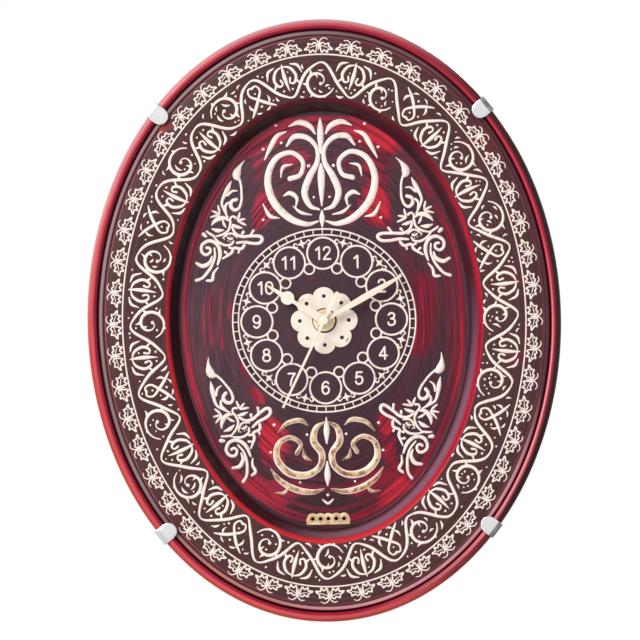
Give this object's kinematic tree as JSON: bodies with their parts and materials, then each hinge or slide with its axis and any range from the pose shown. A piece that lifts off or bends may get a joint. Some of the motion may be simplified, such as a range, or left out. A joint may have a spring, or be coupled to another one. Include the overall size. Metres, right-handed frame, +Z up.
{
  "type": "oval wall clock",
  "caption": "Oval azan wall clock: lacquered dish plate in a bead frame with mirror clips, a quartz movement in mesh, and a voice module behind.",
  "frame": {"origin": "on the rear face of the housing, behind the axis of the hands", "axes": "+Z up the clock, +X to the right seen from the front, +Y out of the back towards the wall, so the front faces -Y"},
  "size_m": [0.36, 0.0493, 0.458],
  "materials": {
    "red_lacquer": "glossy red lacquer over moulded plastic",
    "plum_lacquer": "plum-brown lacquer rubbed through to red",
    "ivory_metal": "ivory paint on thin sheet",
    "ivory_hand": "ivory paint on stamped aluminium",
    "gold_metal": "gilt stamped sheet",
    "chrome": "polished chrome",
    "steel": "zinc-plated steel",
    "black_plastic": "fine-textured black plastic",
    "white_plastic": "natural white acetal",
    "brass": "turned brass",
    "rubber": "soft black rubber",
    "copper": "enamelled copper wire",
    "circuit": "green solder mask",
    "display": "grey-green display glass, blank",
    "clear": "clear acrylic",
    "magnet": "ferrite",
    "paper": "black pressed paper",
    "cell_wrap": "plain printed wrap on a steel can",
    "red_wire": "soft red insulation"
  },
  "bodies": {
    "clock_body": {"frame_ring": "red_lacquer", "face_plate": "plum_lacquer", "center_rosette": "ivory_metal", "sound_grille": "gold_metal", "mirror_clip_upper_right": "chrome", "mirror_clip_lower_right": "chrome", "mirror_clip_lower_left": "chrome", "mirror_clip_upper_left": "chrome", "clip_screw_upper_right": "steel", "clip_screw_lower_right": "steel", "clip_screw_lower_left": "steel", "clip_screw_upper_left": "steel", "rear_housing": "black_plastic", "housing_screw_1": "steel", "housing_screw_2": "steel", "housing_screw_3": "steel", "housing_screw_4": "steel", "hanger_plate": "steel", "hanger_screw_1": "steel", "hanger_screw_2": "steel", "battery_cell_1": "cell_wrap", "battery_cell_2": "cell_wrap", "battery_cell_3": "cell_wrap", "battery_contacts_left": "steel", "battery_contacts_right": "steel", "circuit_board": "circuit", "display_panel": "display", "display_pane": "clear", "speaker_frame": "steel", "speaker_cone": "paper", "speaker_magnet": "magnet", "speaker_lead": "red_wire", "battery_lead": "rubber", "movement_case": "black_plastic", "middle_plate": "white_plastic", "movement_cover": "black_plastic", "rubber_washer": "rubber", "brass_washer": "brass", "hex_nut": "brass", "stator": "steel", "coil": "copper", "quartz_board": "circuit"},
    "hour_group": {"hour_wheel": "white_plastic", "hour_hand": "ivory_hand"},
    "minute_group": {"cannon_pinion": "brass", "minute_hand": "ivory_hand"},
    "minute_wheel_group": {"minute_wheel": "white_plastic"},
    "knob_group": {"setting_knob": "white_plastic"},
    "second_group": {"second_arbor": "white_plastic", "second_hand": "ivory_hand"},
    "third_group": {"third_wheel": "white_plastic"},
    "center_group": {"center_wheel": "white_plastic"},
    "intermediate_group": {"intermediate_wheel": "white_plastic"},
    "rotor_group": {"rotor": "magnet"},
    "door_group": {"battery_door": "black_plastic"},
    "button_1_group": {"push_button_1": "white_plastic"},
    "button_2_group": {"push_button_2": "white_plastic"},
    "button_3_group": {"push_button_3": "white_plastic"},
    "switch_group": {"sound_switch": "white_plastic"}
  },
  "joints": [
    {"name": "minute_hand_turn", "type": "hinge", "parent": "clock_body", "child": "minute_group", "pos_m": [0, -0.03, 0], "axis": [0, 1, 0], "continuous": true},
    {"name": "hour_hand_turn", "type": "hinge", "parent": "clock_body", "child": "hour_group", "pos_m": [0, -0.028, 0], "axis": [0, 1, 0], "continuous": true},
    {"name": "minute_wheel_turn", "type": "hinge", "parent": "clock_body", "child": "minute_wheel_group", "pos_m": [-0.00707, -0.02, 0.00707], "axis": [0, 1, 0], "continuous": true},
    {"name": "setting_knob_turn", "type": "hinge", "parent": "clock_body", "child": "knob_group", "pos_m": [-0.01503, -0.004, 0.01503], "axis": [0, 1, 0], "continuous": true},
    {"name": "second_hand_turn", "type": "hinge", "parent": "clock_body", "child": "second_group", "pos_m": [0, -0.03, 0], "axis": [0, 1, 0], "continuous": true},
    {"name": "third_wheel_turn", "type": "hinge", "parent": "clock_body", "child": "third_group", "pos_m": [0.00866, -0.0158, -0.005], "axis": [0, 1, 0], "continuous": true},
    {"name": "center_wheel_turn", "type": "hinge", "parent": "clock_body", "child": "center_group", "pos_m": [0, -0.017, 0], "axis": [0, 1, 0], "continuous": true},
    {"name": "intermediate_wheel_turn", "type": "hinge", "parent": "clock_body", "child": "intermediate_group", "pos_m": [-0.00713, -0.0134, -0.00713], "axis": [0, 1, 0], "continuous": true},
    {"name": "rotor_turn", "type": "hinge", "parent": "clock_body", "child": "rotor_group", "pos_m": [-0.01, -0.0114, -0.01502], "axis": [0, 1, 0], "continuous": true},
    {"name": "battery_door_swing", "type": "hinge", "parent": "clock_body", "child": "door_group", "pos_m": [0, -0.0002, -0.0939], "axis": [-1, 0, 0], "range_deg": [0, 100]},
    {"name": "push_button_1_press", "type": "slide", "parent": "clock_body", "child": "button_1_group", "axis": [0, -1, 0], "range_m": [0, 0.001], "stiffness_N_per_m": 400},
    {"name": "push_button_2_press", "type": "slide", "parent": "clock_body", "child": "button_2_group", "axis": [0, -1, 0], "range_m": [0, 0.001], "stiffness_N_per_m": 400},
    {"name": "push_button_3_press", "type": "slide", "parent": "clock_body", "child": "button_3_group", "axis": [0, -1, 0], "range_m": [0, 0.001], "stiffness_N_per_m": 400},
    {"name": "sound_switch_slide", "type": "slide", "parent": "clock_body", "child": "switch_group", "axis": [1, 0, 0], "range_m": [0, 0.003]}
  ],
  "couplings": [
    {"joint": "hour_hand_turn", "follows": "minute_hand_turn", "ratio": 0.083333},
    {"joint": "minute_wheel_turn", "follows": "minute_hand_turn", "ratio": -0.33333},
    {"joint": "setting_knob_turn", "follows": "minute_hand_turn", "ratio": 0.66667},
    {"joint": "third_wheel_turn", "follows": "second_hand_turn", "ratio": -0.13333},
    {"joint": "center_wheel_turn", "follows": "second_hand_turn", "ratio": 0.016667},
    {"joint": "intermediate_wheel_turn", "follows": "second_hand_turn", "ratio": -5},
    {"joint": "rotor_turn", "follows": "second_hand_turn", "ratio": 30}
  ]
}
